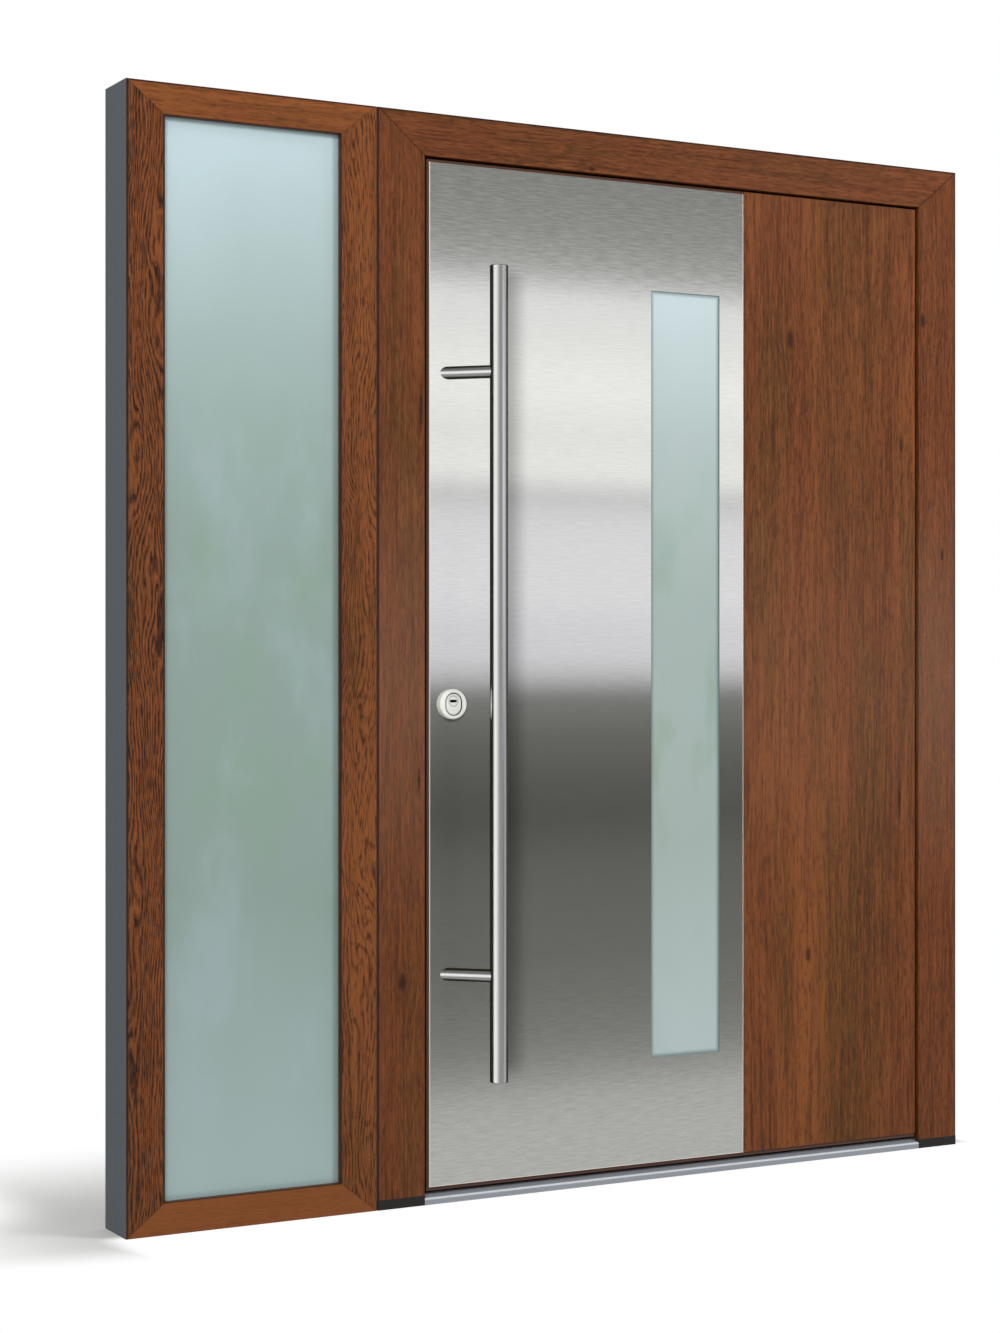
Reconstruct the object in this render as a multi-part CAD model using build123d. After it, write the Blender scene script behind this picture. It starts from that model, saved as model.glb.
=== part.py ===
"""Entrance door set: fixed side light, door frame, sill and an inward-opening leaf.

Millimetres. X runs to the right seen from outside, Y runs inwards, Z runs up.
The origin is on the underside of the sill, at half the width and half the depth.
"""
import os

from build123d import *

# Whole door set
total_width = 1894
total_height = 2100
frame_depth = 110
sidelight_width = 503
coupling_gap = 3
coupling_setback = 2.5
edge_radius = 1.5

# Side light
stile_face = 75
rail_face = 60
glazing_lip = 9
glazing_rebate = 20
glazing_gasket = 3
gasket_width = 9
glass_edge_gap = 5
pane_thickness = 6
glass_cavity = 20
spacer_inset = 3
spacer_width = 8
bead_bevel = 8

# Door frame
jamb_face = 100
header_face = 83
lip_depth = 30
jamb_rebate = 22
foot_height = 19
seal_thickness = 5
seal_width = 8
seal_inset = 1

# Sill
sill_nose_height = 12.5
sill_nose_depth = 20
sill_nose_radius = 2.5
sill_height = 19.5
sill_track_height = 8
sill_back_height = 5
sill_back_depth = 12

# Leaf
leaf_gap = 5
leaf_lock_gap = 7.5
leaf_recess = 6
leaf_inner_recess = 4
flange_gap = 9
flange_stand_off = 10
leaf_bottom_gap = 12.5
flange_bottom_gap = 6
skin_thickness = 2
skin_edge_radius = 0.6
skin_joint = 1.5
leaf_frame_face = 46
steel_inset = 5
steel_skin_width = 727.5
strip_height = 7
strip_setback = 3
strip_depth = 24

# Glass strip in the leaf
lite_width = 165
lite_right_margin = 59
lite_top_margin = 219
lite_bottom_margin = 212
lite_edge_cover = 12
lite_pocket_gap = 2
trim_lap = 16
trim_thickness = 2

# Pull handle
bar_diameter = 35
bar_end_chamfer = 1.2
bar_top_margin = 206
bar_bottom_margin = 204
bar_projection = 72
standoff_diameter = 25
standoff_inset = 204
standoff_setback = 46.5
saddle_clearance = 0.1

# Lock
lock_height = 962
lock_setback = 53.5
rosette_diameter = 58
rosette_thickness = 9
rosette_chamfer = 2
cover_width = 33
cover_height = 41
cover_recess = 1.2
cover_chamfer = 0.4
plug_offset = 6
plug_diameter = 18
plug_recess = 0.4
plug_end_gap = 0.5
plug_clearance = 0.08
keyway_width = 14.5
keyway_height = 4
keyway_depth = 4.5
faceplate_width = 24
faceplate_thickness = 3
faceplate_end_margin = 170
bolt_width = 12
bolt_height = 34
bolt_depth = 30
bolt_end_inset = 210
bolt_clearance = 0.3
strike_pocket_depth = 18
strike_pocket_margin = 4

# Inside furniture
lever_rise = 92
inner_rosette_diameter = 52
inner_rosette_thickness = 8
lever_diameter = 19
lever_projection = 55
lever_length = 130
lever_bend_radius = 16
cylinder_width = 17
cylinder_height = 33
cylinder_proud = 4

# Hinges
hinge_end_margin = 230
hinge_height = 120
hinge_barrel_diameter = 20
hinge_pin_diameter = 10
hinge_pin_clearance = 0.08
hinge_axis_projection = 13
hinge_plate_width = 44
hinge_plate_thickness = 4
hinge_half_gap = 0.6
hinge_pin_end_gap = 6
hinge_web_width = 9

# Places of the frame members
left_x = -total_width / 2
right_x = total_width / 2
sidelight_right_x = left_x + sidelight_width
door_left_x = sidelight_right_x + coupling_gap
opening_left_x = door_left_x + jamb_face
opening_right_x = right_x - jamb_face
opening_top_z = total_height - header_face
front_y = -frame_depth / 2
back_y = frame_depth / 2
lip_y = front_y + lip_depth
header_rebate = jamb_rebate * header_face / jamb_face
rebate_left_x = opening_left_x - jamb_rebate
rebate_right_x = opening_right_x + jamb_rebate
rebate_top_z = opening_top_z + header_rebate

# Places of the leaf, front part and wider flange part
leaf_face_y = front_y + leaf_recess
leaf_inner_y = back_y - leaf_inner_recess
core_front_y = leaf_face_y + skin_thickness
core_back_y = leaf_inner_y - skin_thickness
flange_y = lip_y + flange_stand_off
leaf_left_x = opening_left_x + leaf_lock_gap
leaf_right_x = opening_right_x - leaf_gap
leaf_top_z = opening_top_z - leaf_gap
leaf_bottom_z = sill_height + leaf_bottom_gap
flange_left_x = rebate_left_x + flange_gap
flange_right_x = rebate_right_x - flange_gap
flange_top_z = rebate_top_z - flange_gap
flange_bottom_z = sill_track_height + flange_bottom_gap
leaf_front = (leaf_left_x, leaf_right_x, leaf_bottom_z, leaf_top_z)
leaf_flange = (flange_left_x, flange_right_x, flange_bottom_z, flange_top_z)


def block(rect, y0, y1):
    """Box over a rectangle (x0, x1, z0, z1) from depth y0 to depth y1."""
    x0, x1, z0, z1 = rect
    centre = Pos((x0 + x1) / 2, (y0 + y1) / 2, (z0 + z1) / 2)
    return centre * Box(x1 - x0, y1 - y0, z1 - z0)


def grown(rect, margin):
    """Rectangle grown by a margin on all four sides."""
    x0, x1, z0, z1 = rect
    return (x0 - margin, x1 + margin, z0 - margin, z1 + margin)


def ring(outer, inner, y0, y1):
    """Flat ring between two rectangles."""
    return block(outer, y0, y1) - block(inner, y0, y1)


def softened(piece, radius):
    """Round the edges of the outer face of a sheet."""
    face = piece.faces().sort_by(Axis.Y)[0]
    return fillet(face.edges(), radius)


def disc(x, z, diameter, y0, y1):
    """Cylinder along Y from depth y0 to depth y1."""
    return Pos(x, (y0 + y1) / 2, z) * Rot(90, 0, 0) * Cylinder(diameter / 2, y1 - y0)


def obround(x, z, width, height, y0, y1):
    """Upright slot shape along Y from depth y0 to depth y1."""
    plane = Plane(origin=(x, y1, z), x_dir=(0, 0, 1), z_dir=(0, -1, 0))
    return extrude(plane * SlotOverall(height, width), amount=y1 - y0)


def rebated_section(face, rebate, lip):
    """Profile with a face lip in front of a rebate, across the inward direction and Y."""
    points = [
        (0, front_y),
        (face, front_y),
        (face, front_y + lip),
        (face - rebate, front_y + lip),
        (face - rebate, back_y),
        (0, back_y),
    ]
    section = make_face(Polyline(*points, close=True))
    return fillet(section.vertices(), edge_radius)


def bead_section(face, rebate, y0):
    """Glazing bead with a bevelled room side."""
    points = [
        (face - rebate, y0),
        (face, y0),
        (face, back_y - bead_bevel),
        (face - bead_bevel, back_y),
        (face - rebate, back_y),
    ]
    return make_face(Polyline(*points, close=True))


def member(section, start, inward, run, length):
    """Extrude a profile along its run, with its face growing in the inward direction."""
    x, z = start
    plane = Plane(origin=(x, 0, z), x_dir=inward, z_dir=run)
    return extrude(plane * section, amount=length)


def mitred(piece, corner, inner, keep):
    """Cut a piece along the line between two corners (x, z), on the side of a point to keep."""
    run = Vector(inner[0] - corner[0], 0, inner[1] - corner[1])
    towards = Vector(keep[0] - corner[0], 0, keep[1] - corner[1])
    normal = run.cross(Vector(0, 1, 0))
    if normal.dot(towards) < 0:
        normal = normal * -1
    cut = Plane(origin=(corner[0], 0, corner[1]), z_dir=normal)
    return split(piece, bisect_by=cut, keep=Keep.TOP)


def mitred_sides(pieces, outer, inner):
    """Mitre the left, right, top and bottom pieces of a closed ring at its four corners."""
    ox0, ox1, oz0, oz1 = outer
    ix0, ix1, iz0, iz1 = inner
    middle_x = (ox0 + ox1) / 2
    middle_z = (oz0 + oz1) / 2
    keeps = [(ox0, middle_z), (ox1, middle_z), (middle_x, oz1), (middle_x, oz0)]
    corners = [
        [((ox0, oz1), (ix0, iz1)), ((ox0, oz0), (ix0, iz0))],
        [((ox1, oz1), (ix1, iz1)), ((ox1, oz0), (ix1, iz0))],
        [((ox0, oz1), (ix0, iz1)), ((ox1, oz1), (ix1, iz1))],
        [((ox0, oz0), (ix0, iz0)), ((ox1, oz0), (ix1, iz0))],
    ]
    cut = []
    for piece, keep, ends in zip(pieces, keeps, corners):
        for corner, inside in ends:
            piece = mitred(piece, corner, inside, keep)
        cut.append(piece)
    return cut


RIGHT = (1, 0, 0)
LEFT = (-1, 0, 0)
UP = (0, 0, 1)
DOWN = (0, 0, -1)
parts = {}

# Side light frame, four mitred profiles
side_outer = (left_x, sidelight_right_x, 0, total_height)
side_sight = (
    left_x + stile_face,
    sidelight_right_x - stile_face,
    rail_face,
    total_height - rail_face,
)
rail_rebate = glazing_rebate * rail_face / stile_face
stile_section = rebated_section(stile_face, glazing_rebate, glazing_lip)
rail_section = rebated_section(rail_face, rail_rebate, glazing_lip)
side_pieces = [
    member(stile_section, (left_x, 0), RIGHT, UP, total_height),
    member(stile_section, (sidelight_right_x, total_height), LEFT, DOWN, total_height),
    member(rail_section, (left_x, total_height), DOWN, RIGHT, sidelight_width),
    member(rail_section, (sidelight_right_x, 0), UP, LEFT, sidelight_width),
]
side_cut = mitred_sides(side_pieces, side_outer, side_sight)
parts["sidelight_left_stile"] = side_cut[0]
parts["sidelight_right_stile"] = side_cut[1]
parts["sidelight_top_rail"] = side_cut[2]
parts["sidelight_bottom_rail"] = side_cut[3]

# Side light glass, gaskets and beads
side_glass = (
    side_sight[0] - glazing_rebate + glass_edge_gap,
    side_sight[1] + glazing_rebate - glass_edge_gap,
    side_sight[2] - rail_rebate + glass_edge_gap,
    side_sight[3] + rail_rebate - glass_edge_gap,
)
side_pane_y = front_y + glazing_lip + glazing_gasket
side_cavity_y = side_pane_y + pane_thickness
side_inner_y = side_cavity_y + glass_cavity
side_unit_back_y = side_inner_y + pane_thickness
bead_y = side_unit_back_y + glazing_gasket
side_gasket = grown(side_sight, gasket_width)
side_spacer = grown(side_glass, -spacer_inset)
parts["sidelight_outer_pane"] = block(side_glass, side_pane_y, side_cavity_y)
parts["sidelight_inner_pane"] = block(side_glass, side_inner_y, side_unit_back_y)
parts["sidelight_spacer"] = ring(
    side_spacer,
    grown(side_spacer, -spacer_width),
    side_cavity_y,
    side_inner_y,
)
outer_gasket = ring(side_gasket, side_sight, side_pane_y - glazing_gasket, side_pane_y)
inner_gasket = ring(side_gasket, side_sight, side_unit_back_y, bead_y)
parts["sidelight_gaskets"] = outer_gasket + inner_gasket
upright_bead = bead_section(stile_face, glazing_rebate, bead_y)
level_bead = bead_section(rail_face, rail_rebate, bead_y)
bead_pieces = [
    member(upright_bead, (left_x, 0), RIGHT, UP, total_height),
    member(upright_bead, (sidelight_right_x, total_height), LEFT, DOWN, total_height),
    member(level_bead, (left_x, total_height), DOWN, RIGHT, sidelight_width),
    member(level_bead, (sidelight_right_x, 0), UP, LEFT, sidelight_width),
]
bead_cut = mitred_sides(bead_pieces, side_outer, side_sight)
parts["sidelight_upright_beads"] = bead_cut[0] + bead_cut[1]
parts["sidelight_level_beads"] = bead_cut[2] + bead_cut[3]

# Strip between the side light and the door frame
coupling = (sidelight_right_x, door_left_x, 0, total_height)
parts["coupling_strip"] = block(
    coupling,
    front_y + coupling_setback,
    back_y - coupling_setback,
)

# Door frame, mitred at the top, on two feet
jamb_section = rebated_section(jamb_face, jamb_rebate, lip_depth)
header_section = rebated_section(header_face, header_rebate, lip_depth)
jamb_length = total_height - foot_height
door_frame_width = right_x - door_left_x
lock_jamb = member(jamb_section, (door_left_x, foot_height), RIGHT, UP, jamb_length)
hinge_jamb = member(jamb_section, (right_x, total_height), LEFT, DOWN, jamb_length)
header = member(header_section, (door_left_x, total_height), DOWN, RIGHT, door_frame_width)
top_left = ((door_left_x, total_height), (opening_left_x, opening_top_z))
top_right = ((right_x, total_height), (opening_right_x, opening_top_z))
header_middle = ((door_left_x + right_x) / 2, total_height)
lock_jamb = mitred(lock_jamb, *top_left, (door_left_x, 0))
hinge_jamb = mitred(hinge_jamb, *top_right, (right_x, 0))
header = mitred(header, *top_left, header_middle)
header = mitred(header, *top_right, header_middle)

# Faceplate, bolts and strike share one row of heights
plate_y = (flange_y + core_back_y) / 2
plate_bottom_z = flange_bottom_z + faceplate_end_margin
plate_top_z = flange_top_z - faceplate_end_margin
bolt_heights = [plate_bottom_z + bolt_end_inset, lock_height, plate_top_z - bolt_end_inset]
plate_y0 = plate_y - faceplate_width / 2
plate_y1 = plate_y + faceplate_width / 2


def bolt_row(x0, x1, margin):
    """Row of bolt blocks between two places across the door, grown by a margin."""
    y0 = plate_y - bolt_width / 2 - margin
    y1 = plate_y + bolt_width / 2 + margin
    row = []
    for z in bolt_heights:
        reach = bolt_height / 2 + margin
        row.append(block((x0, x1, z - reach, z + reach), y0, y1))
    return row


strike_rect = (
    rebate_left_x - faceplate_thickness,
    rebate_left_x,
    plate_bottom_z,
    plate_top_z,
)
strike_recess = block(strike_rect, plate_y0, plate_y1)
strike_holes = bolt_row(rebate_left_x - strike_pocket_depth, rebate_left_x, strike_pocket_margin)
parts["strike_plate"] = strike_recess - strike_holes
parts["lock_jamb"] = lock_jamb - strike_recess - strike_holes
parts["hinge_jamb"] = hinge_jamb
parts["door_header"] = header
lock_foot = block((door_left_x, opening_left_x, 0, foot_height), front_y, lip_y)
lock_foot += block((door_left_x, rebate_left_x, 0, foot_height), lip_y, back_y)
hinge_foot = block((opening_right_x, right_x, 0, foot_height), front_y, lip_y)
hinge_foot += block((rebate_right_x, right_x, 0, foot_height), lip_y, back_y)
parts["lock_jamb_foot"] = lock_foot
parts["hinge_jamb_foot"] = hinge_foot


def sill_bar(section, x0, x1):
    """Extrude a sill profile drawn across Y and Z, from one place across the door to another."""
    plane = Plane(origin=(x0, 0, 0), x_dir=(0, 1, 0), z_dir=RIGHT)
    return extrude(plane * section, amount=x1 - x0)


# Sill between the feet, with a rounded, bevelled nose and a lower track behind it
nose_points = [
    (front_y, 0),
    (front_y, sill_nose_height),
    (front_y + sill_nose_depth, sill_height),
    (lip_y, sill_height),
    (lip_y, 0),
]
track_points = [
    (lip_y, 0),
    (lip_y, sill_track_height),
    (back_y - sill_back_depth, sill_track_height),
    (back_y, sill_back_height),
    (back_y, 0),
]
nose_section = make_face(Polyline(*nose_points, close=True))
nose_corner = nose_section.vertices().sort_by_distance((front_y, sill_nose_height, 0))[0]
nose_section = fillet(nose_corner, sill_nose_radius)
track_section = make_face(Polyline(*track_points, close=True))
sill_nose = sill_bar(nose_section, opening_left_x, opening_right_x)
parts["threshold"] = sill_nose + sill_bar(track_section, rebate_left_x, rebate_right_x)

# Seal on the back of the lip, round the sides and the top
seal_back_y = lip_y + seal_thickness
seal_inner = (opening_left_x - seal_inset, opening_right_x + seal_inset, foot_height,
              opening_top_z + seal_inset)
seal_outer = (seal_inner[0] - seal_width, seal_inner[1] + seal_width, foot_height,
              seal_inner[3] + seal_width)
parts["frame_seal"] = ring(seal_outer, seal_inner, lip_y, seal_back_y)

# Leaf frame, a stepped ring in four mitred pieces
leaf_well = grown(leaf_front, -leaf_frame_face)
leaf_ring = ring(leaf_front, leaf_well, core_front_y, flange_y)
leaf_ring += ring(leaf_flange, leaf_well, flange_y, core_back_y)
plate_rect = (flange_left_x, flange_left_x + faceplate_thickness, plate_bottom_z, plate_top_z)
plate_recess = block(plate_rect, plate_y0, plate_y1)
bolt_pockets = bolt_row(flange_left_x, flange_left_x + bolt_depth, bolt_clearance)
leaf_middle_x = (flange_left_x + flange_right_x) / 2
leaf_middle_z = (flange_bottom_z + flange_top_z) / 2
ring_halves = [
    (flange_left_x, leaf_middle_x, flange_bottom_z, flange_top_z),
    (leaf_middle_x, flange_right_x, flange_bottom_z, flange_top_z),
    (flange_left_x, flange_right_x, leaf_middle_z, flange_top_z),
    (flange_left_x, flange_right_x, flange_bottom_z, leaf_middle_z),
]
leaf_sides = [leaf_ring & block(half, core_front_y, core_back_y) for half in ring_halves]
leaf_cut = mitred_sides(leaf_sides, leaf_flange, leaf_well)
parts["leaf_lock_stile"] = leaf_cut[0] - plate_recess - bolt_pockets
parts["leaf_hinge_stile"] = leaf_cut[1]
parts["leaf_top_rail"] = leaf_cut[2]
parts["leaf_bottom_rail"] = leaf_cut[3]
parts["lock_faceplate"] = plate_recess - bolt_pockets
parts["lock_bolts"] = Part() + bolt_row(flange_left_x, flange_left_x + bolt_depth, 0)

# Glass strip in the leaf, in the steel sheet that leaves a border of the leaf frame free
steel_left_x = leaf_left_x + steel_inset
steel_right_x = steel_left_x + steel_skin_width
steel_top_z = leaf_top_z - steel_inset
lite_right_x = steel_right_x - lite_right_margin
lite_sight = (
    lite_right_x - lite_width,
    lite_right_x,
    leaf_bottom_z + lite_bottom_margin,
    leaf_top_z - lite_top_margin,
)
lite_glass = grown(lite_sight, lite_edge_cover)
lite_pocket = grown(lite_glass, lite_pocket_gap)
lite_spacer = grown(lite_glass, -spacer_inset)
lite_cavity_y = core_front_y + pane_thickness
lite_inner_y = lite_cavity_y + glass_cavity
lite_back_y = lite_inner_y + pane_thickness
parts["leaf_outer_pane"] = block(lite_glass, core_front_y, lite_cavity_y)
parts["leaf_inner_pane"] = block(lite_glass, lite_inner_y, lite_back_y)
parts["leaf_glass_spacer"] = ring(
    lite_spacer,
    grown(lite_spacer, -spacer_width),
    lite_cavity_y,
    lite_inner_y,
)
trim_lining = ring(lite_pocket, lite_sight, lite_back_y, leaf_inner_y)
trim_flange = ring(
    grown(lite_pocket, trim_lap),
    lite_sight,
    leaf_inner_y,
    leaf_inner_y + trim_thickness,
)
parts["leaf_glazing_trim"] = trim_lining + trim_flange

# Leaf core and skins
parts["leaf_core"] = ring(leaf_well, lite_pocket, core_front_y, core_back_y)
steel_rect = (steel_left_x, steel_right_x, leaf_bottom_z, steel_top_z)
wood_rect = (steel_right_x + skin_joint, leaf_right_x, leaf_bottom_z, leaf_top_z)
steel_skin = softened(block(steel_rect, leaf_face_y, core_front_y), skin_edge_radius)
parts["leaf_steel_skin"] = steel_skin - block(lite_sight, leaf_face_y, core_front_y)
parts["leaf_wood_skin"] = softened(block(wood_rect, leaf_face_y, core_front_y), skin_edge_radius)
parts["leaf_inner_skin"] = ring(leaf_flange, lite_pocket, core_back_y, leaf_inner_y)
strip_rect = (leaf_left_x, leaf_right_x, leaf_bottom_z - strip_height, leaf_bottom_z)
strip_y = leaf_face_y + strip_setback
parts["leaf_bottom_strip"] = block(strip_rect, strip_y, strip_y + strip_depth)

# Pull handle: a round bar on two slanting standoffs cut flush to the leaf
standoff_x = leaf_left_x + standoff_setback
bar_x = standoff_x + bar_projection
bar_y = leaf_face_y - bar_projection
bar_bottom_z = leaf_bottom_z + bar_bottom_margin
bar_top_z = leaf_top_z - bar_top_margin
bar_length = bar_top_z - bar_bottom_z
bar_place = Pos(bar_x, bar_y, (bar_bottom_z + bar_top_z) / 2)
bar = Cylinder(bar_diameter / 2, bar_length)
bar = chamfer(bar.edges().filter_by(GeomType.CIRCLE), bar_end_chamfer)
parts["handle_bar"] = bar_place * bar
saddle = bar_place * Cylinder(bar_diameter / 2 + saddle_clearance, bar_length)
leaf_plane = Plane(origin=(0, leaf_face_y, 0), z_dir=(0, -1, 0))


def standoff(z):
    """Slanting round standoff from the leaf to the bar, shaped to sit against both."""
    slant = Plane(origin=(bar_x, bar_y, z), z_dir=(-1, 1, 0))
    post = extrude(slant * Circle(standoff_diameter / 2), amount=2 * bar_projection)
    post = split(post, bisect_by=leaf_plane, keep=Keep.TOP)
    return post - saddle


parts["handle_upper_standoff"] = standoff(bar_top_z - standoff_inset)
parts["handle_lower_standoff"] = standoff(bar_bottom_z + standoff_inset)

# Lock rosette, recessed oval cover and turning plug with a level keyway
lock_x = leaf_left_x + lock_setback
plug_z = lock_height + plug_offset
rosette_y = leaf_face_y - rosette_thickness
cover_y = rosette_y + cover_recess
plug_y = cover_y + plug_recess
rosette = disc(lock_x, lock_height, rosette_diameter, rosette_y, leaf_face_y)
rosette = chamfer(rosette.edges().sort_by(Axis.Y)[0], rosette_chamfer)
cover_shape = obround(lock_x, lock_height, cover_width, cover_height, rosette_y, leaf_face_y)
parts["lock_rosette"] = rosette - cover_shape
cover = obround(lock_x, lock_height, cover_width, cover_height, cover_y, leaf_face_y)
cover = chamfer(cover.faces().sort_by(Axis.Y)[0].edges(), cover_chamfer)
plug_bore = disc(lock_x, plug_z, plug_diameter + 2 * plug_clearance, cover_y, leaf_face_y)
parts["lock_cover"] = cover - plug_bore
plug = disc(lock_x, plug_z, plug_diameter, plug_y, leaf_face_y - plug_end_gap)
keyway_rect = (
    lock_x - keyway_width / 2,
    lock_x + keyway_width / 2,
    plug_z - keyway_height / 2,
    plug_z + keyway_height / 2,
)
parts["lock_plug"] = plug - block(keyway_rect, plug_y, plug_y + keyway_depth)

# Inside furniture: lever and cylinder on two round rosettes
lever_z = lock_height + lever_rise
inner_rosette_y = leaf_inner_y + inner_rosette_thickness
inner_rosettes = []
for z in (lever_z, lock_height):
    plate = disc(lock_x, z, inner_rosette_diameter, leaf_inner_y, inner_rosette_y)
    plate = chamfer(plate.edges().sort_by(Axis.Y)[-1], rosette_chamfer)
    inner_rosettes.append(plate)
cylinder_end_y = inner_rosette_y + cylinder_proud
cylinder = obround(lock_x, lock_height, cylinder_width, cylinder_height, leaf_inner_y, cylinder_end_y)
parts["inner_lever_rosette"] = inner_rosettes[0]
parts["inner_lock_rosette"] = inner_rosettes[1] - cylinder
parts["inner_cylinder"] = cylinder
lever_start = Vector(lock_x, inner_rosette_y, lever_z)
lever_elbow = lever_start + Vector(0, lever_projection, 0)
lever_end = lever_elbow + Vector(lever_length, 0, 0)
lever_path = FilletPolyline(lever_start, lever_elbow, lever_end, radius=lever_bend_radius)
lever_ring = Plane(origin=lever_start, z_dir=(0, 1, 0)) * Circle(lever_diameter / 2)
parts["inner_lever"] = sweep(lever_ring, path=lever_path)

# Three lift-off barrel hinges on the room side
hinge_x = (flange_right_x + rebate_right_x) / 2
hinge_y = back_y + hinge_axis_projection
top_hinge_z = leaf_top_z - hinge_end_margin
bottom_hinge_z = leaf_bottom_z + hinge_end_margin
hinge_heights = [bottom_hinge_z, (bottom_hinge_z + top_hinge_z) / 2, top_hinge_z]


def upright(diameter, z0, z1):
    """Upright cylinder on the hinge axis."""
    return Pos(hinge_x, hinge_y, (z0 + z1) / 2) * Cylinder(diameter / 2, z1 - z0)


def hinge_half(side, seat_y, z0, z1):
    """Barrel, web and plate of one half, on the right (1) or the left (-1) of the axis."""
    web_x = sorted((hinge_x, hinge_x + side * hinge_web_width))
    plate_x = sorted((hinge_x, hinge_x + side * hinge_plate_width))
    half = upright(hinge_barrel_diameter, z0, z1)
    half += block((*web_x, z0, z1), seat_y, hinge_y)
    half += block((*plate_x, z0, z1), seat_y, seat_y + hinge_plate_thickness)
    return half


frame_halves = []
leaf_halves = []
for z in hinge_heights:
    low_z = z - hinge_height / 2
    high_z = z + hinge_height / 2
    pin_top_z = high_z - hinge_pin_end_gap
    frame_half = hinge_half(1, back_y, low_z, z - hinge_half_gap / 2)
    frame_half += upright(hinge_pin_diameter, z - hinge_half_gap, pin_top_z)
    bore = upright(hinge_pin_diameter + 2 * hinge_pin_clearance, low_z, pin_top_z + hinge_half_gap)
    frame_halves.append(frame_half)
    leaf_halves.append(hinge_half(-1, leaf_inner_y, z + hinge_half_gap / 2, high_z) - bore)
parts["hinge_frame_halves"] = Part() + frame_halves
parts["hinge_leaf_halves"] = Part() + leaf_halves

os.makedirs("parts", exist_ok=True)
for name, solid in parts.items():
    solid.label = name
    export_step(solid, f"parts/{name}.step")
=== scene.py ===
import math
import typing

import bpy
from bpy.props import FloatProperty, FloatVectorProperty, IntProperty, PointerProperty
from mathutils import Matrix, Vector


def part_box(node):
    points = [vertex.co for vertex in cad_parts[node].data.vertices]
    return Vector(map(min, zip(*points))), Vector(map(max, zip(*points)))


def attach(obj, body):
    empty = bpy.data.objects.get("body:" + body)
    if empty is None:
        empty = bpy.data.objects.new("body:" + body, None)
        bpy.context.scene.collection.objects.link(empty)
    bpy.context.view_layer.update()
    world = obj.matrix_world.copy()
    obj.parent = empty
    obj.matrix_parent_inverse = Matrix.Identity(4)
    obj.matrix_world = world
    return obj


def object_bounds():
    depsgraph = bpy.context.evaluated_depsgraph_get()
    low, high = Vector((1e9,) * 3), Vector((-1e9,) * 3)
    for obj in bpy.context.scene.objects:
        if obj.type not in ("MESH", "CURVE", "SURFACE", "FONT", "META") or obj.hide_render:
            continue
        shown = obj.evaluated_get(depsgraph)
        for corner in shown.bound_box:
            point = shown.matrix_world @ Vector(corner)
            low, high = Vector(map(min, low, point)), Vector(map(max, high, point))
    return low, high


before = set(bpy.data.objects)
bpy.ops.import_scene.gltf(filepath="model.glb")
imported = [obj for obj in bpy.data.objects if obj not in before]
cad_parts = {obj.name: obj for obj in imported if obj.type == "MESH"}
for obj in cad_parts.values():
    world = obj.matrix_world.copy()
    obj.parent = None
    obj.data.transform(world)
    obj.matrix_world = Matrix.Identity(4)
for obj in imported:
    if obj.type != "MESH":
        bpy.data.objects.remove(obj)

bl_info = {
    "name": "Entrance Door With Side Light",
    "version": (1, 0, 0),
    "blender": (4, 5, 0),
    "location": "View3D > Sidebar > Door",
    "description": "Gives the packed entrance door its finishes, its screws and a plain studio",
    "category": "Object",
}

cad_box = [list(corner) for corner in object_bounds()]
top_z = cad_box[1][2]
mid_height = 1.0


def paint(code):
    """The linear colour that a hex code names."""
    parts = [int(code[i:i + 2], 16) / 255 for i in (1, 3, 5)]
    return tuple(p / 12.92 if p <= 0.04045 else ((p + 0.055) / 1.055) ** 2.4 for p in parts)


def rgba(colour):
    """A colour with full alpha, as a shader socket takes it."""
    return (*colour[:3], 1.0)


def toned(colour, share):
    """A colour made darker or paler, as a shader socket takes it."""
    return rgba([min(c * share, 1.0) for c in colour])


def front_oval(node):
    """Centre and half sizes, in X and Z, of a CAD node seen from the front."""
    low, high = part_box(node)
    return (low.x + high.x) / 2, (low.z + high.z) / 2, (high.x - low.x) / 2, (high.z - low.z) / 2


def colour_choice(name, description, code):
    return FloatVectorProperty(
        name=name, description=description, subtype="COLOR", min=0, max=1, default=paint(code)
    )


def length_choice(name, description, default):
    return FloatProperty(name=name, description=description, unit="LENGTH", min=0, precision=5, default=default)


def share_choice(name, description, default):
    return FloatProperty(name=name, description=description, subtype="FACTOR", min=0, max=1, default=default)


def power_choice(name, description, default):
    return FloatProperty(name=name, description=description, subtype="POWER", min=0, default=default)


class WoodDecor(bpy.types.PropertyGroup):
    light: colour_choice("Light wood", "Palest tone between the growth lines", "#7E4721")
    middle: colour_choice("Middle wood", "Main tone of the decor", "#663619")
    olive: colour_choice("Olive wood", "Greener tone of the heartwood", "#583715")
    dark: colour_choice("Dark wood", "Tone of the growth lines", "#381C0B")
    # Painted sheen: a greyer tone laid into the wood's colour at mid-height.
    painted_sheen: colour_choice("Faded wood", "Greyer sheen at mid-height", "#8A6A57")
    pore: colour_choice("Pore", "Tone of pores, knots and mitre lines", "#1C0E08")
    ring_gap: length_choice("Growth line gap", "Distance between growth lines", 0.011)
    fibre_width: length_choice("Fibre width", "Distance between fibres across the grain", 0.0042)
    fibre_length: length_choice("Fibre length", "Length of one fibre along the grain", 0.120)
    pore_width: length_choice("Pore width", "Distance between pores across the grain", 0.0036)
    pore_length: length_choice("Pore length", "Length of one pore along the grain", 0.022)
    relief: length_choice("Relief", "Depth of the embossed grain", 0.0004)
    gloss: share_choice("Roughness", "Roughness of the decor film", 0.30)


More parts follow.
